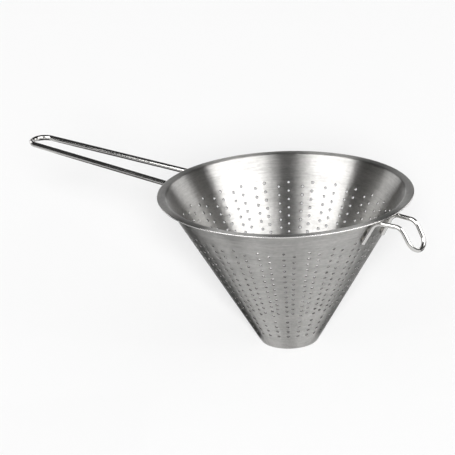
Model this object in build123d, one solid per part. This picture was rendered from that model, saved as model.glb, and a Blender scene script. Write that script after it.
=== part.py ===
from build123d import *
import math
import os

os.makedirs("parts", exist_ok=True)

# Conical strainer, in millimetres. The bowl's axis is Z and its small flat
# bottom stands on z = 0. The handle points along -X and the hook along +X.

# Bowl: one sheet pressed into a flat rim, a straight cone and a flat bottom
sheet_thickness = 1.0
bowl_height = 122.7
rim_radius = 100.0
cone_radius_at_rim_top = 94.3
cone_half_angle = 30.45
rim_bend_radius = 0.6
bottom_corner_radius = 3.0
cut_edge_radius = 0.3

# Holes: pairs of columns round the cone, a long column and a short one
hole_radius = 0.95
hole_pairs = 26
first_pair_angle = -68.0
pair_spread_angle = 5.7
first_hole_drop = 23.9
upper_row_count = 13
upper_row_pitch = 7.0
pitch_loss_per_row = 0.12
plain_band = 8.2
lower_row_count = 4
lower_row_pitch = 6.0
cut_overrun = 1.0

# Handle: one round wire bent to a long narrow loop
handle_wire_radius = 2.25
handle_half_width_at_rim = 16.3
handle_taper_angle = 2.3
handle_drop_at_rim = 8.7
handle_rise_angle = 1.9
handle_tip_centre = 250.8
handle_wall_end_drop = 28.0
handle_bend_radius = 8.0

# Hook: one thinner round wire bent to a short loop that turns down
hook_wire_radius = 1.8
hook_half_width_at_wall = 12.7
hook_toe_in_angle = 5.0
hook_drop = 3.1
hook_corner_reach = 116.5
hook_slant_angle = 60.0
hook_slant_length = 12.4
hook_wall_end_drop = 21.6
hook_wall_bend_radius = 10.0
hook_outer_bend_radius = 9.0

# Welds: small beads in the groove between a wire and the wall
weld_gap = 0.05
handle_bead_radius = 1.6
handle_bead_length = 5.0
hook_bead_radius = 1.3
hook_bead_length = 4.0
bead_round_share = 0.6
lower_bead_share = 0.2
upper_bead_share = 0.6

# Rounds it takes for a wire's bend points to settle on the cone's face
settle_rounds = 20

half_angle = math.radians(cone_half_angle)
pair_angle = 360 / hole_pairs


def cone_radius(height):
    """Radius of the cone's outer face at a height above the bottom."""
    return cone_radius_at_rim_top - (bowl_height - height) * math.tan(half_angle)


def make_bowl_blank():
    """The pressed sheet before its holes are punched."""
    wall_width = sheet_thickness / math.cos(half_angle)
    rim_under = bowl_height - sheet_thickness
    outline = [
        (0, 0),
        (cone_radius(0), 0),
        (cone_radius(rim_under), rim_under),
        (rim_radius, rim_under),
        (rim_radius, bowl_height),
        (cone_radius(bowl_height) - wall_width, bowl_height),
        (cone_radius(sheet_thickness) - wall_width, sheet_thickness),
        (0, sheet_thickness),
    ]
    radii = [
        0,
        bottom_corner_radius,
        rim_bend_radius,
        cut_edge_radius,
        cut_edge_radius,
        rim_bend_radius + sheet_thickness,
        bottom_corner_radius - sheet_thickness,
        0,
    ]
    section = make_face(Polyline(*outline, close=True))
    for corner, radius in zip(outline, radii):
        if radius:
            near = section.vertices().sort_by_distance(Vector(*corner))[0]
            section = fillet(near, radius)
    blank = revolve(Plane.XZ * section, Axis.Z)
    seam_angle = first_pair_angle + (pair_spread_angle + pair_angle) / 2
    return Rot(0, 0, seam_angle) * blank


def hole_drops():
    """Distances down the outer face from the rim for the three kinds of row."""
    long_rows = [first_hole_drop]
    for row in range(upper_row_count - 1):
        step = upper_row_pitch - pitch_loss_per_row * row
        long_rows.append(long_rows[-1] + step)
    short_rows = [(a + b) / 2 for a, b in zip(long_rows, long_rows[1:])]
    start = long_rows[-1] + plain_band
    low_rows = [start + lower_row_pitch * row for row in range(lower_row_count)]
    return long_rows + low_rows, short_rows


def hole_punch(drop, turn):
    """A round punch square to the wall, at a drop down it and a turn round it."""
    height = bowl_height - drop * math.cos(half_angle)
    reach = cone_radius_at_rim_top - drop * math.sin(half_angle)
    outward = (math.cos(half_angle), 0, -math.sin(half_angle))
    seat = Plane(origin=(reach, 0, height), z_dir=outward)
    length = sheet_thickness + 2 * cut_overrun
    punch = Cylinder(hole_radius, length)
    place = seat * Pos(0, 0, -sheet_thickness / 2)
    return Rot(0, 0, turn) * place * punch


def make_punches():
    """Every punch of the bowl's pattern."""
    long_drops, short_drops = hole_drops()
    punches = []
    for pair in range(hole_pairs):
        turn = first_pair_angle + pair * pair_angle
        for drop in long_drops:
            punches.append(hole_punch(drop, turn))
        for drop in short_drops:
            punches.append(hole_punch(drop, turn + pair_spread_angle))
    return punches


def wall_reach(height, side, stand_off):
    """Distance along X to a point that stands off the cone, to one side."""
    ring = cone_radius(height) + stand_off / math.cos(half_angle)
    return math.sqrt(ring**2 - side**2)


def rounded_leg(points, radii):
    """Edges of a leg through points, with an arc at each point between."""
    points = [Vector(*p) for p in points]
    edges = []
    start = points[0]
    for before, corner, after, radius in zip(points, points[1:], points[2:], radii):
        back = (before - corner).normalized()
        ahead = (after - corner).normalized()
        half_turn = math.radians(back.get_angle(ahead)) / 2
        trim = radius / math.tan(half_turn)
        bisector = (back + ahead).normalized()
        centre = corner + bisector * (radius / math.sin(half_turn))
        enter = corner + back * trim
        leave = corner + ahead * trim
        edges.append(Line(start, enter))
        edges.append(ThreePointArc(enter, centre - bisector * radius, leave))
        start = leave
    edges.append(Line(start, points[-1]))
    return edges


def loop_wire(points, radii, wire_radius):
    """A round wire: one leg, a turned end and the leg's mirror image."""
    leg = rounded_leg(points, radii)
    last = Vector(*points[-1])
    heading = (last - Vector(*points[-2])).normalized()
    twin = Vector(last.X, -last.Y, last.Z)
    turn = TangentArc(last, twin, tangent=heading)
    other = [edge.mirror(Plane.XZ) for edge in leg]
    path = Wire([*leg, turn, *reversed(other)])
    first = Vector(*points[0])
    along = (Vector(*points[1]) - first).normalized()
    section = Plane(origin=first, z_dir=along) * Circle(wire_radius)
    return sweep(section, path=path)


def handle_points():
    """Bends of one leg of the handle, on its +Y side."""
    stand_off = handle_wire_radius + weld_gap
    taper = math.tan(math.radians(handle_taper_angle))
    rise = math.tan(math.radians(handle_rise_angle))
    run_height = bowl_height - handle_drop_at_rim
    foot_height = bowl_height - handle_wall_end_drop

    def side(reach):
        return handle_half_width_at_rim - taper * (reach - rim_radius)

    def height(reach):
        return run_height + rise * (reach - rim_radius)

    foot = cone_radius(foot_height)
    bend = cone_radius(run_height)
    for _ in range(settle_rounds):
        foot = wall_reach(foot_height, side(foot), stand_off)
        bend = wall_reach(height(bend), side(bend), stand_off)
    tip = handle_tip_centre
    return [
        (-foot, side(foot), foot_height),
        (-bend, side(bend), height(bend)),
        (-tip, side(tip), height(tip)),
    ]


def hook_points():
    """Bends of one leg of the hook, on its +Y side."""
    stand_off = hook_wire_radius + weld_gap
    toe_in = math.tan(math.radians(hook_toe_in_angle))
    slant = math.radians(hook_slant_angle)
    run_height = bowl_height - hook_drop
    foot_height = bowl_height - hook_wall_end_drop
    foot = wall_reach(foot_height, hook_half_width_at_wall, stand_off)

    def side(reach):
        return hook_half_width_at_wall - toe_in * (reach - foot)

    bend = cone_radius(run_height)
    for _ in range(settle_rounds):
        bend = wall_reach(run_height, side(bend), stand_off)
    corner = hook_corner_reach
    end = corner + hook_slant_length * math.cos(slant)
    end_height = run_height - hook_slant_length * math.sin(slant)
    return [
        (foot, side(foot), foot_height),
        (bend, side(bend), run_height),
        (corner, side(corner), run_height),
        (end, side(end), end_height),
    ]


def make_beads(points, wire, bead_radius, bead_length, blank):
    """Two beads on each leg, in the groove between the wire and the wall."""
    foot = Vector(*points[0])
    bend = Vector(*points[1])
    along = (bend - foot).normalized()
    beads = []
    for share in (lower_bead_share, upper_bead_share):
        middle = foot + (bend - foot) * share
        ring = math.hypot(middle.X, middle.Y)
        height = middle.Z
        inward = Vector(-middle.X / ring, -middle.Y / ring, math.tan(half_angle)).normalized()
        gap = (ring - cone_radius(height)) * math.cos(half_angle)
        contact = middle + inward * gap
        seat = Plane(origin=contact, z_dir=along)
        bead = seat * Cylinder(bead_radius, bead_length)
        ends = bead.edges().filter_by(GeomType.CIRCLE)
        bead = fillet(ends, bead_radius * bead_round_share)
        pieces = (bead - wire - blank).solids()
        beads.append(max(pieces, key=lambda piece: abs(piece.center().X)))
    mirrored = [bead.mirror(Plane.XZ) for bead in beads]
    return Compound(children=beads + mirrored)


blank = make_bowl_blank()
bowl = blank.cut(*make_punches())

handle_bends = handle_points()
handle = loop_wire(handle_bends, [handle_bend_radius], handle_wire_radius)
handle_welds = make_beads(handle_bends, handle, handle_bead_radius, handle_bead_length, blank)

hook_bends = hook_points()
hook_radii = [hook_wall_bend_radius, hook_outer_bend_radius]
hook = loop_wire(hook_bends, hook_radii, hook_wire_radius)
hook_welds = make_beads(hook_bends, hook, hook_bead_radius, hook_bead_length, blank)

export_step(bowl, "parts/strainer_bowl.step", write_pcurves=False)
export_step(handle, "parts/handle.step")
export_step(hook, "parts/hook.step")
export_step(handle_welds, "parts/handle_welds.step")
export_step(hook_welds, "parts/hook_welds.step")
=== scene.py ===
import bpy
import math
from mathutils import Matrix, Vector
from mathutils.geometry import delaunay_2d_cdt


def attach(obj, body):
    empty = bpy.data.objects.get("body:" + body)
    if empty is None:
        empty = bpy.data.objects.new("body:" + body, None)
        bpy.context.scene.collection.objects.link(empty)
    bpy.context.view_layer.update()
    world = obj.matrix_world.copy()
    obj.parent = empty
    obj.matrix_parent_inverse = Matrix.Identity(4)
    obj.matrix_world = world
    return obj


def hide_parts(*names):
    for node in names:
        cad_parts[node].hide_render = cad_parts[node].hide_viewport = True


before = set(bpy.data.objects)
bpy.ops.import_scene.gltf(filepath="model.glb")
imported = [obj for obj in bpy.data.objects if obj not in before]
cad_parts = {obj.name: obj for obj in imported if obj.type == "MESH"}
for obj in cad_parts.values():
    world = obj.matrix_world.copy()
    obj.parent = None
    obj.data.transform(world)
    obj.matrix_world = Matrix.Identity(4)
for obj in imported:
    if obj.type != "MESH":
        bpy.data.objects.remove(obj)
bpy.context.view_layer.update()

MM = 0.001

# Bowl: the pressed sheet, as in the part's source. The rim and the ends of both wires
# are drawn up to 0.03 mm short, so that the look stays inside the part's own box
SHEET = 1.0 * MM
BOWL_HEIGHT = 122.7 * MM
RIM_RADIUS = 99.985 * MM
CONE_RADIUS_AT_RIM = 94.3 * MM
HALF_ANGLE = math.radians(30.45)
RIM_BEND = 0.6 * MM
BOTTOM_BEND = 3.0 * MM
EDGE_ROUND = 0.3 * MM

# Holes: pairs of columns, a long one and a short one
HOLE_RADIUS = 0.95 * MM
HOLE_LIP = 0.34 * MM
HOLE_LIP_DEPTH = 0.4 * MM
HOLE_BACK_LIP = 0.32 * MM
HOLE_SIDES = 16
HOLE_PAIRS = 26
FIRST_PAIR = math.radians(-68.0)
PAIR_SPREAD = math.radians(5.7)
FIRST_DROP = 23.9 * MM
UPPER_ROWS = 13
UPPER_PITCH = 7.0 * MM
PITCH_LOSS = 0.12 * MM
PLAIN_BAND = 8.2 * MM
LOWER_ROWS = 4
LOWER_PITCH = 6.0 * MM
STEPS_PER_PAIR = 10
WALL_ROWS = 26
CLEAR_OF_HOLE = 1.7 * HOLE_RADIUS
CUT_OUT_REACH = 0.975 * (HOLE_RADIUS + HOLE_LIP)
LIP_ACROSS = 0.707
LIP_DOWN = 0.293
TOP_SEAM = 1.2 * MM
LOW_SEAM = 1.0 * MM
BEND_STEPS = 6
EDGE_STEPS = 4
FLOOR_RINGS = (0.06, 0.2, 0.4, 0.6, 0.8)
JOIN_WITHIN = 0.002 * MM
SHARP_ON_BOWL = 40

# Handle and hook: bent round wires
HANDLE_WIRE = 2.25 * MM
HANDLE_HALF_WIDTH = 16.3 * MM
HANDLE_TAPER = math.radians(2.3)
HANDLE_DROP = 8.7 * MM
HANDLE_RISE = math.radians(1.9)
HANDLE_TIP = 250.77 * MM
HANDLE_FOOT_DROP = 28.0 * MM
HANDLE_BEND = 8.0 * MM
HOOK_WIRE = 1.8 * MM
HOOK_HALF_WIDTH = 12.7 * MM
HOOK_TOE_IN = math.radians(5.0)
HOOK_DROP = 3.1 * MM
HOOK_CORNER = 116.485 * MM
HOOK_SLANT = math.radians(60.0)
HOOK_SLANT_LENGTH = 12.4 * MM
HOOK_FOOT_DROP = 21.6 * MM
HOOK_WALL_BEND = 10.0 * MM
HOOK_OUTER_BEND = 9.0 * MM
WELD_GAP = 0.05 * MM
WIRE_SIDES = 32
WIRE_BEND_STEPS = 14
LOOP_END_STEPS = 18
CUT_END_ROUND = 0.12
MIRROR_WITHIN = 0.01 * MM
SETTLE_ROUNDS = 20
SHARP_ON_WIRE = 50
MARKS_ROUND = 9.0
MARKS_ALONG = 60.0

SIN = math.sin(HALF_ANGLE)
COS = math.cos(HALF_ANGLE)
TAN = math.tan(HALF_ANGLE)
PAIR_ANGLE = 2 * math.pi / HOLE_PAIRS


def cone_radius(height):
    """Radius of the cone's outer face at a height."""
    return CONE_RADIUS_AT_RIM - (BOWL_HEIGHT - height) * TAN


# The bowl's mesh


def corner_arc(before, corner, after, radius, steps):
    """Points of a rounded corner in the profile."""
    corner = Vector(corner)
    back = (Vector(before) - corner).normalized()
    ahead = (Vector(after) - corner).normalized()
    half = back.angle(ahead) / 2
    trim = radius / math.tan(half)
    middle = corner + (back + ahead).normalized() * (radius / math.sin(half))
    first = corner + back * trim - middle
    last = corner + ahead * trim - middle
    turn = first.angle_signed(last)
    points = []
    for step in range(steps + 1):
        spun = first.copy()
        spun.rotate(Matrix.Rotation(-turn * step / steps, 2))
        points.append(middle + spun)
    return points


def bowl_profile():
    """Outer and inner lines of the sheet, each from the bottom's centre to the rim's edge."""
    wall = SHEET / COS
    under = BOWL_HEIGHT - SHEET
    top = BOWL_HEIGHT
    outer = [(0, 0), (cone_radius(0), 0), (cone_radius(under), under), (RIM_RADIUS, under)]
    inner = [
        (0, SHEET),
        (cone_radius(SHEET) - wall, SHEET),
        (cone_radius(top) - wall, top),
        (RIM_RADIUS, top),
    ]
    return outer, inner


def hole_places():
    """(turn from the pair's long column, drop down the wall) of each hole in a pair."""
    long_rows = [FIRST_DROP]
    for row in range(UPPER_ROWS - 1):
        long_rows.append(long_rows[-1] + UPPER_PITCH - PITCH_LOSS * row)
    short_rows = [(a + b) / 2 for a, b in zip(long_rows, long_rows[1:])]
    start = long_rows[-1] + PLAIN_BAND
    low_rows = [start + LOWER_PITCH * row for row in range(LOWER_ROWS)]
    return [(0.0, s) for s in long_rows + low_rows] + [(PAIR_SPREAD, s) for s in short_rows]


def on_wall(turn, drop, depth):
    """A point of the wall: turn round the axis, drop down the outer face, depth into the sheet."""
    reach = CONE_RADIUS_AT_RIM - drop * SIN - depth * COS
    height = BOWL_HEIGHT - drop * COS + depth * SIN
    return Vector((reach * math.cos(turn), reach * math.sin(turn), height))


def ring_of(turn, drop, radius):
    """Points (turn, drop) round a hole."""
    reach = CONE_RADIUS_AT_RIM - drop * SIN
    steps = [2 * math.pi * k / HOLE_SIDES for k in range(HOLE_SIDES)]
    return [(turn + radius * math.cos(a) / reach, drop + radius * math.sin(a)) for a in steps]


def wall_patch(top_drop, low_drop):
    """One pair's strip of the wall: points (turn, drop), triangles, hole rims and bores."""
    left = -(PAIR_ANGLE - PAIR_SPREAD) / 2
    scale = CONE_RADIUS_AT_RIM - SIN * (top_drop + low_drop) / 2
    points, edges, rims = [], [], []
    holes = hole_places()
    for turn, drop in holes:
        first = len(points)
        points += ring_of(turn, drop, HOLE_RADIUS + HOLE_LIP)
        rim = list(range(first, first + HOLE_SIDES))
        edges += zip(rim, rim[1:] + rim[:1])
        rims.append(rim)
    for row in range(WALL_ROWS + 1):
        drop = top_drop + (low_drop - top_drop) * row / WALL_ROWS
        for step in range(STEPS_PER_PAIR + 1):
            turn = left + PAIR_ANGLE * step / STEPS_PER_PAIR
            on_edge = row in (0, WALL_ROWS) or step in (0, STEPS_PER_PAIR)
            reach = CONE_RADIUS_AT_RIM - drop * SIN
            near = min(math.hypot((turn - t) * reach, drop - d) for t, d in holes)
            if on_edge or near > CLEAR_OF_HOLE:
                points.append((turn, drop))
    flat = [Vector((turn * scale, drop)) for turn, drop in points]
    made = delaunay_2d_cdt(flat, edges, [], 0, 1e-9)
    verts = [(v.x / scale, v.y) for v in made[0]]
    faces = []
    for face in made[2]:
        turn = sum(verts[i][0] for i in face) / 3
        drop = sum(verts[i][1] for i in face) / 3
        reach = CONE_RADIUS_AT_RIM - drop * SIN
        near = min(math.hypot((turn - t) * reach, drop - d) for t, d in holes)
        if near > CUT_OUT_REACH:
            faces.append(tuple(face))
    source = {}
    for index, origins in enumerate(made[3]):
        for origin in origins:
            source[origin] = index
    rims = [[source[i] for i in rim] for rim in rims]
    bores = [ring_of(turn, drop, HOLE_RADIUS) for turn, drop in holes]
    return verts, faces, rims, bores


def make_bowl():
    """The perforated bowl: spun bottom, bend and rim round a wall with real holes."""
    outer, inner = bowl_profile()
    outer_low = corner_arc(*outer[:3], BOTTOM_BEND, BEND_STEPS)
    inner_low = corner_arc(*inner[:3], BOTTOM_BEND - SHEET, BEND_STEPS)
    outer_top = corner_arc(*outer[1:], RIM_BEND, BEND_STEPS)
    inner_top = corner_arc(*inner[1:], RIM_BEND + SHEET, BEND_STEPS)
    under_edge = corner_arc(outer[2], outer[3], inner[3], EDGE_ROUND, EDGE_STEPS)
    top_edge = corner_arc(outer[3], inner[3], inner[2], EDGE_ROUND, EDGE_STEPS)
    top_drop = (BOWL_HEIGHT - outer_top[0].y) / COS + TOP_SEAM
    low_drop = (BOWL_HEIGHT - outer_low[-1].y) / COS - LOW_SEAM
    strip, faces, rims, bores = wall_patch(top_drop, low_drop)

    def towards(start, end, share):
        return tuple(a + (b - a) * share for a, b in zip(start, end))

    back_strip = list(strip)
    for rim, bore in zip(rims, bores):
        for i, b in zip(rim, bore):
            back_strip[i] = towards(strip[i], b, 1 - HOLE_BACK_LIP / HOLE_LIP)

    verts, polys, bore_faces = [], [], []
    found = {}

    def vertex(place):
        spot = tuple(round(c * 1e7) for c in place)
        if spot not in found:
            found[spot] = len(verts)
            verts.append(place)
        return found[spot]

    for pair in range(HOLE_PAIRS):
        base = FIRST_PAIR + pair * PAIR_ANGLE
        outside = [vertex(on_wall(base + t, d, 0)) for t, d in strip]
        inside = [vertex(on_wall(base + t, d, SHEET)) for t, d in back_strip]
        for a, b, c in faces:
            polys.append((outside[a], outside[c], outside[b]))
            polys.append((inside[a], inside[b], inside[c]))
        for rim, bore in zip(rims, bores):
            lip = [towards(strip[i], b, LIP_ACROSS) for i, b in zip(rim, bore)]
            rings = [
                [outside[i] for i in rim],
                [vertex(on_wall(base + t, d, LIP_DOWN * HOLE_LIP_DEPTH)) for t, d in lip],
                [vertex(on_wall(base + t, d, HOLE_LIP_DEPTH)) for t, d in bore],
                [vertex(on_wall(base + t, d, SHEET - HOLE_BACK_LIP)) for t, d in bore],
                [inside[i] for i in rim],
            ]
            for upper, lower in zip(rings, rings[1:]):
                for k in range(HOLE_SIDES):
                    m = (k + 1) % HOLE_SIDES
                    bore_faces.append(len(polys))
                    polys.append((upper[k], upper[m], lower[m], lower[k]))

    sides = HOLE_PAIRS * STEPS_PER_PAIR
    start = FIRST_PAIR - (PAIR_ANGLE - PAIR_SPREAD) / 2

    def ring(point):
        reach, height = point
        turns = [start + 2 * math.pi * k / sides for k in range(sides)]
        return [vertex(Vector((reach * math.cos(t), reach * math.sin(t), height))) for t in turns]

    def at_drop(drop, depth):
        reach = CONE_RADIUS_AT_RIM - drop * SIN - depth * COS
        return (reach, BOWL_HEIGHT - drop * COS + depth * SIN)

    def skin(line):
        rings = [ring(point) for point in line]
        for low, high in zip(rings, rings[1:]):
            for k in range(sides):
                m = (k + 1) % sides
                polys.append((low[k], low[m], high[m], high[k]))

    floor_out = [(outer_low[0].x * s, 0) for s in FLOOR_RINGS]
    floor_in = [(inner_low[0].x * s, SHEET) for s in FLOOR_RINGS]
    skin(floor_out + outer_low + [at_drop(low_drop, 0)])
    skin(
        [at_drop(top_drop, 0)] + outer_top + under_edge + top_edge
        + inner_top[::-1] + [at_drop(top_drop, SHEET)]
    )
    skin([at_drop(low_drop, SHEET)] + inner_low[::-1] + floor_in[::-1])
    for line, flip in ((floor_out, True), (floor_in, False)):
        loop = ring(line[0])
        polys.append(tuple(reversed(loop)) if flip else tuple(loop))

    mesh = bpy.data.meshes.new("strainer_bowl_sheet")
    mesh.from_pydata(verts, [], polys)
    # The hole bores take the darker steel: painted shade in the holes.
    for index in bore_faces:
        mesh.polygons[index].material_index = 1
    # Faces at the rim's edge take the lighter steel: a painted highlight along the rim.
    for face in mesh.polygons:
        if math.hypot(face.center.x, face.center.y) > RIM_RADIUS - 0.9 * EDGE_ROUND:
            face.material_index = 2
    mesh.validate()
    piece = bpy.data.objects.new("strainer_bowl_sheet", mesh)
    bpy.context.scene.collection.objects.link(piece)
    return piece


def select_only(piece):
    """Makes the piece the only selected and active object."""
    bpy.ops.object.select_all(action="DESELECT")
    bpy.context.view_layer.objects.active = piece
    piece.select_set(True)


def close_and_smooth(piece, degrees):
    """Joins doubled points, turns faces outwards and smooths below an angle."""
    select_only(piece)
    bpy.ops.object.mode_set(mode="EDIT")
    bpy.ops.mesh.select_all(action="SELECT")
    bpy.ops.mesh.remove_doubles(threshold=JOIN_WITHIN)
    bpy.ops.mesh.normals_make_consistent(inside=False)
    bpy.ops.object.mode_set(mode="OBJECT")
    bpy.ops.object.shade_smooth_by_angle(angle=math.radians(degrees))


# The bent wires


def wall_reach(height, side, stand_off):
    """Distance along X to a point that stands off the cone, to one side."""
    ring = cone_radius(height) + stand_off / COS
    return math.sqrt(ring**2 - side**2)


def handle_points():
    """Bends of one leg of the handle, on its +Y side."""
    stand_off = HANDLE_WIRE + WELD_GAP
    run_height = BOWL_HEIGHT - HANDLE_DROP
    foot_height = BOWL_HEIGHT - HANDLE_FOOT_DROP

    def side(reach):
        return HANDLE_HALF_WIDTH - math.tan(HANDLE_TAPER) * (reach - RIM_RADIUS)

    def height(reach):
        return run_height + math.tan(HANDLE_RISE) * (reach - RIM_RADIUS)

    foot, bend = cone_radius(foot_height), cone_radius(run_height)
    for _ in range(SETTLE_ROUNDS):
        foot = wall_reach(foot_height, side(foot), stand_off)
        bend = wall_reach(height(bend), side(bend), stand_off)
    tip = HANDLE_TIP
    return [
        (-foot, side(foot), foot_height),
        (-bend, side(bend), height(bend)),
        (-tip, side(tip), height(tip)),
    ]


def hook_points():
    """Bends of one leg of the hook, on its +Y side."""
    stand_off = HOOK_WIRE + WELD_GAP
    run_height = BOWL_HEIGHT - HOOK_DROP
    foot_height = BOWL_HEIGHT - HOOK_FOOT_DROP
    foot = wall_reach(foot_height, HOOK_HALF_WIDTH, stand_off)

    def side(reach):
        return HOOK_HALF_WIDTH - math.tan(HOOK_TOE_IN) * (reach - foot)

    bend = cone_radius(run_height)
    for _ in range(SETTLE_ROUNDS):
        bend = wall_reach(run_height, side(bend), stand_off)
    end = HOOK_CORNER + HOOK_SLANT_LENGTH * math.cos(HOOK_SLANT)
    end_height = run_height - HOOK_SLANT_LENGTH * math.sin(HOOK_SLANT)
    return [
        (foot, side(foot), foot_height),
        (bend, side(bend), run_height),
        (HOOK_CORNER, side(HOOK_CORNER), run_height),
        (end, side(end), end_height),
    ]


def turned(start, centre, axis, angle, steps):
    """Points of an arc from a start point round a centre."""
    spins = [Matrix.Rotation(angle * k / steps, 3, axis) for k in range(steps + 1)]
    return [centre + spin @ (start - centre) for spin in spins]


def mark_along(piece, path, wire_radius):
    """Stores, for each point of a wire, its place round and along the wire in marks."""
    path = path + [Vector((p.x, -p.y, p.z)) for p in path[::-1]]
    starts = [0.0]
    for a, b in zip(path, path[1:]):
        starts.append(starts[-1] + (b - a).length)
    place = piece.data.attributes.new("along_wire", "FLOAT_VECTOR", "POINT")
    for vert, entry in zip(piece.data.vertices, place.data):
        best = None
        for a, b, start in zip(path, path[1:], starts):
            span = b - a
            if span.length < 1e-7:
                continue
            share = min(1, max(0, (vert.co - a).dot(span) / span.length_squared))
            off = vert.co - a - span * share
            if best is None or off.length < best[0]:
                best = (off.length, start + span.length * share, off, span)
        side = Vector((0, 0, 1)).cross(best[3])
        side = side.normalized() if side.length > 1e-6 else Vector((0, 1, 0))
        up = best[3].cross(side).normalized()
        entry.vector = (
            MARKS_ROUND * best[2].dot(side) / wire_radius,
            MARKS_ROUND * best[2].dot(up) / wire_radius,
            MARKS_ALONG * best[1],
        )


def bent_wire(name, points, radii, wire_radius):
    """A round wire bent as by hand: pushed straight, spun round each bend, mirrored."""
    points = [Vector(p) for p in points]
    ahead = (points[1] - points[0]).normalized()
    bpy.ops.object.select_all(action="DESELECT")
    bpy.ops.mesh.primitive_circle_add(
        vertices=WIRE_SIDES,
        radius=wire_radius,
        fill_type="NGON",
        location=points[0],
        rotation=ahead.to_track_quat("Z", "Y").to_euler(),
    )
    piece = bpy.context.object
    piece.name = name
    bpy.ops.object.mode_set(mode="EDIT")
    bpy.ops.mesh.select_all(action="SELECT")
    here = points[0]
    path = [here]

    def push(to):
        bpy.ops.mesh.extrude_region_move(TRANSFORM_OT_translate={"value": to - here})

    for before, corner, after, radius in zip(points, points[1:], points[2:], radii):
        back = (before - corner).normalized()
        onward = (after - corner).normalized()
        half = back.angle(onward) / 2
        enter = corner + back * (radius / math.tan(half))
        leave = corner + onward * (radius / math.tan(half))
        centre = corner + (back + onward).normalized() * (radius / math.sin(half))
        push(enter)
        axis = (leave - centre).cross(enter - centre).normalized()
        turn = math.pi - 2 * half
        bpy.ops.mesh.spin(steps=WIRE_BEND_STEPS, angle=turn, center=centre, axis=axis)
        path += turned(enter, centre, axis, -turn, WIRE_BEND_STEPS)
        here = leave
    push(points[-1])
    here = points[-1]
    heading = (points[-1] - points[-2]).normalized()
    level = Vector((heading.x, 0, heading.z)).normalized()
    centre = Vector((here.x, 0, here.z)) + level * (here.y * heading.y / heading.dot(level))
    axis = level.cross(here - centre).normalized()
    turn = (here - centre).angle(level)
    bpy.ops.mesh.spin(steps=LOOP_END_STEPS, angle=turn, center=centre, axis=axis)
    path += turned(here, centre, axis, -turn, LOOP_END_STEPS)
    bpy.ops.mesh.delete(type="ONLY_FACE")
    bpy.ops.object.mode_set(mode="OBJECT")
    bpy.ops.object.transform_apply(location=True, rotation=True, scale=True)
    mirror = piece.modifiers.new("other_leg", "MIRROR")
    mirror.use_axis = (False, True, False)
    mirror.merge_threshold = MIRROR_WITHIN
    bpy.ops.object.modifier_apply(modifier="other_leg")
    bpy.ops.object.mode_set(mode="EDIT")
    bpy.ops.mesh.select_all(action="DESELECT")
    bpy.ops.mesh.select_face_by_sides(number=4, type="GREATER")
    bpy.ops.mesh.bevel(offset=CUT_END_ROUND * wire_radius, segments=3, affect="EDGES")
    bpy.ops.object.mode_set(mode="OBJECT")
    close_and_smooth(piece, SHARP_ON_WIRE)
    mark_along(piece, path, wire_radius)
    return piece


bowl = make_bowl()
close_and_smooth(bowl, SHARP_ON_BOWL)
handle = bent_wire("handle_wire", handle_points(), [HANDLE_BEND], HANDLE_WIRE)
hook = bent_wire("hook_wire", hook_points(), [HOOK_WALL_BEND, HOOK_OUTER_BEND], HOOK_WIRE)

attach(bowl, "root")
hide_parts("strainer_bowl")
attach(handle, "root")
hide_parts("handle")
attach(hook, "root")
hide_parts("hook")


# Finishes of the metal


class Finish:
    """A metal surface and short ways to wire its nodes."""

    def __init__(self, name):
        self.material = bpy.data.materials.new(name)
        self.material.use_nodes = True
        self.tree = self.material.node_tree
        self.shader = self.tree.nodes["Principled BSDF"]
        self.shader.inputs["Metallic"].default_value = 1

    def add(self, kind, **settings):
        made = self.tree.nodes.new(kind)
        for key, value in settings.items():
            setattr(made, key, value)
        return made

    def feed(self, socket, value):
        if isinstance(value, bpy.types.NodeSocket):
            self.tree.links.new(value, socket)
        else:
            socket.default_value = value

    def sum(self, operation, first, second=0.0, third=0.0):
        made = self.add("ShaderNodeMath", operation=operation)
        for socket, value in zip(made.inputs, (first, second, third)):
            self.feed(socket, value)
        return made.outputs[0]

    def vector(self, x, y, z):
        made = self.add("ShaderNodeCombineXYZ")
        for socket, value in zip(made.inputs, (x, y, z)):
            self.feed(socket, value)
        return made.outputs[0]

    def noise(self, place, scale=1.0, detail=2.0, rough=0.6):
        made = self.add("ShaderNodeTexNoise")
        self.feed(made.inputs["Vector"], place)
        made.inputs["Scale"].default_value = scale
        made.inputs["Detail"].default_value = detail
        made.inputs["Roughness"].default_value = rough
        return made.outputs["Fac"]

    def spread(self, value, low, high, low_out, high_out):
        """Spreads a value's range low..high over low_out..high_out."""
        made = self.add("ShaderNodeMapRange")
        for socket, number in zip(made.inputs, (value, low, high, low_out, high_out)):
            self.feed(socket, number)
        return made.outputs[0]

    def tint(self, share, first, second):
        made = self.add("ShaderNodeMix", data_type="RGBA")
        self.feed(made.inputs[0], share)
        made.inputs[6].default_value = (*first, 1)
        made.inputs[7].default_value = (*second, 1)
        return made.outputs[2]

    def bump(self, height, strength, distance):
        made = self.add("ShaderNodeBump")
        made.inputs["Strength"].default_value = strength
        made.inputs["Distance"].default_value = distance
        self.feed(made.inputs["Height"], height)
        self.feed(self.shader.inputs["Normal"], made.outputs[0])


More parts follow.
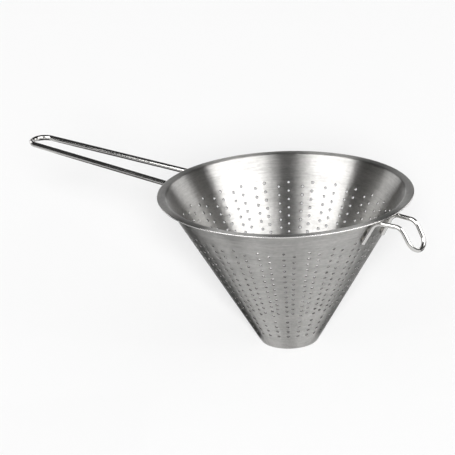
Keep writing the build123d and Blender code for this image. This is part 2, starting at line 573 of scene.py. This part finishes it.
def brushed_sheet_finish():
    """Satin sheet: fine marks run round the axis, as a spinning brush leaves them."""
    finish = Finish("brushed_sheet_steel")
    finish.shader.distribution = "GGX"
    place = finish.add("ShaderNodeTexCoord").outputs["Object"]
    split = finish.add("ShaderNodeSeparateXYZ")
    finish.feed(split.inputs[0], place)
    x, y, z = split.outputs
    flat = finish.vector(x, y, 0.0)
    length = finish.add("ShaderNodeVectorMath", operation="LENGTH")
    finish.feed(length.inputs[0], flat)
    unit = finish.add("ShaderNodeVectorMath", operation="NORMALIZE")
    finish.feed(unit.inputs[0], flat)
    turn = finish.add("ShaderNodeSeparateXYZ")
    finish.feed(turn.inputs[0], unit.outputs[0])
    run = finish.sum("MULTIPLY_ADD", z, COS, finish.sum("MULTIPLY", length.outputs["Value"], SIN))

    def marks(round_scale, across_scale, detail):
        """Noise drawn out round the axis; across_scale is in marks per metre."""
        a = finish.sum("MULTIPLY", turn.outputs[0], round_scale)
        b = finish.sum("MULTIPLY", turn.outputs[1], round_scale)
        c = finish.sum("MULTIPLY", run, across_scale)
        return finish.noise(finish.vector(a, b, c), detail=detail)

    fine = marks(7.0, 2600.0, 2.0)
    coarse = marks(3.0, 800.0, 2.0)
    waves = marks(1.2, 110.0, 1.0)
    smears = finish.noise(place, scale=22.0, detail=3.0)
    grain = marks(22.0, 520.0, 3.0)
    streaks = finish.sum("MULTIPLY_ADD", fine, 0.5, finish.sum("MULTIPLY", coarse, 0.5))
    tone = finish.sum("MULTIPLY_ADD", waves, 0.2, finish.sum("MULTIPLY", streaks, 0.5))
    tone = finish.sum("MULTIPLY_ADD", grain, 0.3, tone)
    finish.feed(finish.shader.inputs["Base Color"], finish.tint(
        finish.spread(tone, 0.36, 0.64, 0.0, 1.0), (0.32, 0.315, 0.306), (0.52, 0.513, 0.50)))
    rough = finish.spread(streaks, 0.3, 0.7, 0.33, 0.37)
    rough = finish.sum("ADD", rough, finish.spread(smears, 0.3, 0.7, -0.03, 0.03))
    finish.feed(finish.shader.inputs["Roughness"], rough)
    finish.shader.inputs["Anisotropic"].default_value = 1.0
    finish.shader.inputs["Anisotropic Rotation"].default_value = 0.25
    tangent = finish.add("ShaderNodeTangent", direction_type="RADIAL", axis="Z")
    finish.feed(finish.shader.inputs["Tangent"], tangent.outputs[0])
    height = finish.sum("MULTIPLY_ADD", grain, 0.6, finish.sum("MULTIPLY", streaks, 0.4))
    finish.bump(height, 0.3, 0.0003)
    return finish.material


def cut_edge_finish(name, darker, lighter, relief):
    """Punched and trimmed edges: bare metal, smoother than the brushed faces, with painted light in
    the tones given: darker on the hole bores as painted shade, lighter on the rim's edge as a painted
    highlight.
    """
    finish = Finish(name)
    place = finish.add("ShaderNodeTexCoord").outputs["Object"]
    grain = finish.noise(place, scale=1500.0, detail=2.0)
    smears = finish.noise(place, scale=60.0, detail=2.0)
    finish.feed(finish.shader.inputs["Base Color"], finish.tint(
        finish.spread(smears, 0.35, 0.65, 0.0, 1.0), darker, lighter))
    finish.feed(finish.shader.inputs["Roughness"], finish.spread(grain, 0.3, 0.7, 0.16, 0.26))
    finish.bump(grain, relief, 0.0001)
    return finish.material


def polished_wire_finish():
    """Drawn wire, polished bright: faint marks along it and soft unevenness."""
    finish = Finish("polished_wire_steel")
    place = finish.add("ShaderNodeTexCoord").outputs["Object"]
    along = finish.add("ShaderNodeAttribute", attribute_name="along_wire").outputs["Vector"]
    marks = finish.noise(along, scale=1.0, detail=3.0)
    uneven = finish.noise(place, scale=140.0, detail=1.0)
    smears = finish.noise(place, scale=45.0, detail=3.0)
    finish.feed(finish.shader.inputs["Base Color"], finish.tint(
        finish.spread(marks, 0.3, 0.7, 0.0, 1.0), (0.56, 0.553, 0.54), (0.66, 0.654, 0.64)))
    rough = finish.spread(marks, 0.3, 0.7, 0.08, 0.14)
    rough = finish.sum("ADD", rough, finish.spread(smears, 0.35, 0.7, 0.0, 0.06))
    finish.feed(finish.shader.inputs["Roughness"], rough)
    height = finish.sum("MULTIPLY_ADD", marks, 0.05, finish.sum("MULTIPLY", uneven, 0.95))
    finish.bump(height, 0.12, 0.0004)
    return finish.material


def weld_finish():
    """Weld metal: small ripples, duller than the wires, a trace of straw tint."""
    finish = Finish("weld_steel")
    place = finish.add("ShaderNodeTexCoord").outputs["Object"]
    ripples = finish.noise(place, scale=900.0, detail=2.0)
    stain = finish.noise(place, scale=260.0, detail=2.0)
    finish.feed(finish.shader.inputs["Base Color"], finish.tint(
        finish.spread(stain, 0.35, 0.65, 0.0, 1.0), (0.42, 0.41, 0.39), (0.5, 0.46, 0.39)))
    finish.feed(finish.shader.inputs["Roughness"], finish.spread(ripples, 0.3, 0.7, 0.3, 0.42))
    finish.bump(ripples, 0.4, 0.0004)
    return finish.material


bowl.data.materials.append(brushed_sheet_finish())
# Hole bores: a darker copy of the steel, painted shade in the holes.
bowl.data.materials.append(
    cut_edge_finish("punched_bore_painted_shade", (0.2, 0.197, 0.192), (0.32, 0.316, 0.31), 0.1)
)
# Rim's trimmed edge: a much lighter copy of the steel, a painted highlight along the rim.
bowl.data.materials.append(
    cut_edge_finish("rim_edge_painted_highlight", (0.70, 0.692, 0.68), (0.82, 0.812, 0.80), 0.02)
)
wire_steel = polished_wire_finish()
handle.data.materials.append(wire_steel)
hook.data.materials.append(wire_steel)
weld_steel = weld_finish()
for name in ("handle_welds", "hook_welds"):
    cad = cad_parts[name]
    cad.data.materials.clear()
    cad.data.materials.append(weld_steel)


# Camera, floor and studio light

AZIMUTH = math.radians(39.0)
PITCH = math.radians(20.152)
ROLL = math.radians(-2.113)
RIM_FROM_CAMERA = Vector((44.963, -27.361, 2330.25)) * MM
SENSOR_WIDTH = 36
FOCAL_PIXELS = 3000
PHOTO_PIXELS = 455

FLOOR_SIZE = 8
FLOOR_TONE = 0.8
FLOOR_WHITE_TO_EYE = 0.45
FLOOR_WHITE_IN_METAL = 0.15
MATT = 0.9
ROOM_LIGHT = 0.4
ROOM_IN_METAL = 0.035
BACKDROP_EDGE = (0.92, 0.97)
CARD_HEIGHT = 0.5 * MM
AIM = Vector((0, 0, 0.09))


def place_camera():
    """The camera as solved from the photograph's outline and holes."""
    rise, level = math.sin(PITCH), math.cos(PITCH)
    view = Matrix(((1, 0, 0), (0, -rise, -level), (0, level, -rise)))
    view = Matrix.Rotation(ROLL, 3, "Z") @ view
    turn = Matrix.Rotation(AZIMUTH, 3, "Z")
    place = turn @ (-(view.transposed() @ RIM_FROM_CAMERA)) + Vector((0, 0, BOWL_HEIGHT))
    right, down, ahead = (turn @ view[i] for i in range(3))
    camera = bpy.data.objects.new("camera", bpy.data.cameras.new("camera"))
    bpy.context.scene.collection.objects.link(camera)
    facing = Matrix((right, -down, -ahead)).transposed().to_4x4()
    camera.matrix_world = Matrix.Translation(place) @ facing
    camera.data.sensor_width = SENSOR_WIDTH
    camera.data.lens = SENSOR_WIDTH * FOCAL_PIXELS / PHOTO_PIXELS
    bpy.context.scene.camera = camera


place_camera()


def around(turn, reach, height):
    """A place in the studio: turn from the camera's side, positive to its right."""
    angle = AZIMUTH - math.pi / 2 + turn
    return Vector((reach * math.cos(angle), reach * math.sin(angle), height))


def plain_white(tree, lit, output, eye_share, mirror_share):
    """Mixes plain white over what is lit, for the eye and for metal or glass that shows it."""

    def sum_of(operation, *values):
        made = tree.nodes.new("ShaderNodeMath")
        made.operation = operation
        for socket, value in zip(made.inputs, values):
            if isinstance(value, bpy.types.NodeSocket):
                tree.links.new(value, socket)
            else:
                socket.default_value = value
        return made.outputs[0]

    rays = tree.nodes.new("ShaderNodeLightPath")
    mirrored = sum_of("MAXIMUM", rays.outputs["Is Glossy Ray"], rays.outputs["Is Transmission Ray"])
    mirrored = sum_of("MULTIPLY", mirrored, mirror_share)
    share = sum_of("MAXIMUM", sum_of("MULTIPLY", rays.outputs["Is Camera Ray"], eye_share), mirrored)
    glow = tree.nodes.new("ShaderNodeEmission")
    glow.inputs["Strength"].default_value = 1
    mix = tree.nodes.new("ShaderNodeMixShader")
    tree.links.new(share, mix.inputs[0])
    tree.links.new(lit, mix.inputs[1])
    tree.links.new(glow.outputs[0], mix.inputs[2])
    tree.links.new(mix.outputs[0], output)


def lay_floor():
    """A plain pale floor, wide enough to fill the view."""
    bpy.ops.object.select_all(action="DESELECT")
    bpy.ops.mesh.primitive_plane_add(size=FLOOR_SIZE, location=(0, 0, 0))
    floor = bpy.context.object
    floor.name = "floor"
    pale = bpy.data.materials.new("pale_floor")
    pale.use_nodes = True
    tree = pale.node_tree
    shader = tree.nodes["Principled BSDF"]
    shader.inputs["Base Color"].default_value = (FLOOR_TONE, FLOOR_TONE, FLOOR_TONE, 1)
    shader.inputs["Roughness"].default_value = MATT
    output = tree.nodes["Material Output"].inputs[0]
    plain_white(tree, shader.outputs[0], output, FLOOR_WHITE_TO_EYE, FLOOR_WHITE_IN_METAL)
    floor.data.materials.append(pale)


def light_room():
    """Room light for the floor; metal sees a dim room with the white backdrop behind the strainer."""
    world = bpy.data.worlds.new("studio")
    world.use_nodes = True
    bpy.context.scene.world = world
    tree = world.node_tree
    room = tree.nodes["Background"]
    room.inputs[0].default_value = (1, 1, 1, 1)
    rays = tree.nodes.new("ShaderNodeLightPath")
    dim = tree.nodes.new("ShaderNodeMapRange")
    tree.links.new(rays.outputs["Is Glossy Ray"], dim.inputs[0])
    dim.inputs[3].default_value = ROOM_LIGHT
    dim.inputs[4].default_value = ROOM_IN_METAL
    tree.links.new(dim.outputs[0], room.inputs[1])
    behind = tree.nodes.new("ShaderNodeVectorMath")
    behind.operation = "DOT_PRODUCT"
    tree.links.new(tree.nodes.new("ShaderNodeTexCoord").outputs["Generated"], behind.inputs[0])
    behind.inputs[1].default_value = around(math.pi, 1, 0)
    edge = tree.nodes.new("ShaderNodeMapRange")
    edge.interpolation_type = "SMOOTHSTEP"
    tree.links.new(behind.outputs["Value"], edge.inputs[0])
    edge.inputs[1].default_value = BACKDROP_EDGE[0]
    edge.inputs[2].default_value = BACKDROP_EDGE[1]
    output = tree.nodes["World Output"].inputs[0]
    plain_white(tree, room.outputs[0], output, 1.0, edge.outputs[0])


def soft_light(name, turn, rise, distance, size, brightness):
    """A square-on soft panel: turn and rise in degrees, brightness as metal sees it."""
    data = bpy.data.lights.new(name, "AREA")
    data.shape = "RECTANGLE"
    data.size, data.size_y = size
    data.energy = brightness * math.pi * size[0] * size[1]
    lamp = bpy.data.objects.new(name, data)
    bpy.context.scene.collection.objects.link(lamp)
    turn, rise = math.radians(turn), math.radians(rise)
    lamp.location = AIM + around(turn, distance * math.cos(rise), distance * math.sin(rise))
    lamp.rotation_euler = (AIM - lamp.location).to_track_quat("-Z", "Y").to_euler()
    return lamp


def sun_light(name, turn, rise, softness, strength):
    """Soft even light on the floor from the camera's side; metal doesn't show it."""
    data = bpy.data.lights.new(name, "SUN")
    data.angle = math.radians(softness)
    data.energy = strength
    lamp = bpy.data.objects.new(name, data)
    bpy.context.scene.collection.objects.link(lamp)
    rise = math.radians(rise)
    coming = around(math.radians(turn), math.cos(rise), math.sin(rise))
    lamp.rotation_euler = (-coming).to_track_quat("-Z", "Y").to_euler()
    lamp.visible_glossy = False


def painted_shade_card(name, tone, places):
    """A dark card laid on the floor beside the strainer, that only the metal shows: painted shade in
    the metal's reflection of the floor, which the camera, the floor's light and the shadows don't
    see.

    Its corners are in millimetres to the camera's right and towards the camera.
    """
    right, near = around(math.pi / 2, 1, 0), around(0, 1, 0)
    lift = Vector((0, 0, CARD_HEIGHT))
    verts = [(right * x + near * y) * MM + lift for x, y in places]
    mesh = bpy.data.meshes.new(name)
    mesh.from_pydata(verts, [], [tuple(range(len(verts)))])
    card = bpy.data.objects.new(name, mesh)
    bpy.context.scene.collection.objects.link(card)
    finish = bpy.data.materials.new(name)
    finish.use_nodes = True
    shader = finish.node_tree.nodes["Principled BSDF"]
    shader.inputs["Base Color"].default_value = (tone, tone, tone, 1)
    shader.inputs["Roughness"].default_value = MATT
    card.data.materials.append(finish)
    card.visible_camera = False
    card.visible_diffuse = False
    card.visible_shadow = False


lay_floor()
light_room()
panels = [
    soft_light("front_left_softbox", -54.5, 40, 1.2, (1.02, 1.15), 4.8),
    soft_light("front_right_softbox", 54, 40, 1.2, (1.30, 1.15), 4.8),
    soft_light("camera_side_panel", 0, 45, 1.2, (0.3, 0.8), 0.35),
    soft_light("back_left_panel", -135, 14, 1.4, (0.7, 0.7), 1.5),
    soft_light("back_right_panel", 130, 14, 1.4, (0.7, 0.7), 2.1),
]
for panel in panels:
    panel.visible_diffuse = False
sun_light("front_fill", 0, 20.5, 14, 7.0)
# Painted shade: cards seen only in the metal's reflections, dark where the floor round the strainer
# is shaded.
painted_shade_card("left_card", 0.02, [(-30, 14), (-115, 5), (-330, -90), (-200, -330), (-25, -5)])
painted_shade_card("right_card", 0.02, [
    (27, 20), (60, 5), (110, -20), (300, -180), (260, -330),
    (150, -180), (100, -108), (58, -46), (30, 6),
])
painted_shade_card("front_left_card", 0.03, [(-110, 90), (-420, 140), (-420, 260), (-110, 200)])
painted_shade_card("front_right_card", 0.02, [(170, 45), (520, 70), (520, -60), (190, -35)])
painted_shade_card("far_left_card", 0.42, [(-260, 120), (-2000, 900), (-2500, -1500), (-400, -250)])

scene = bpy.context.scene
scene.view_settings.view_transform = "Standard"
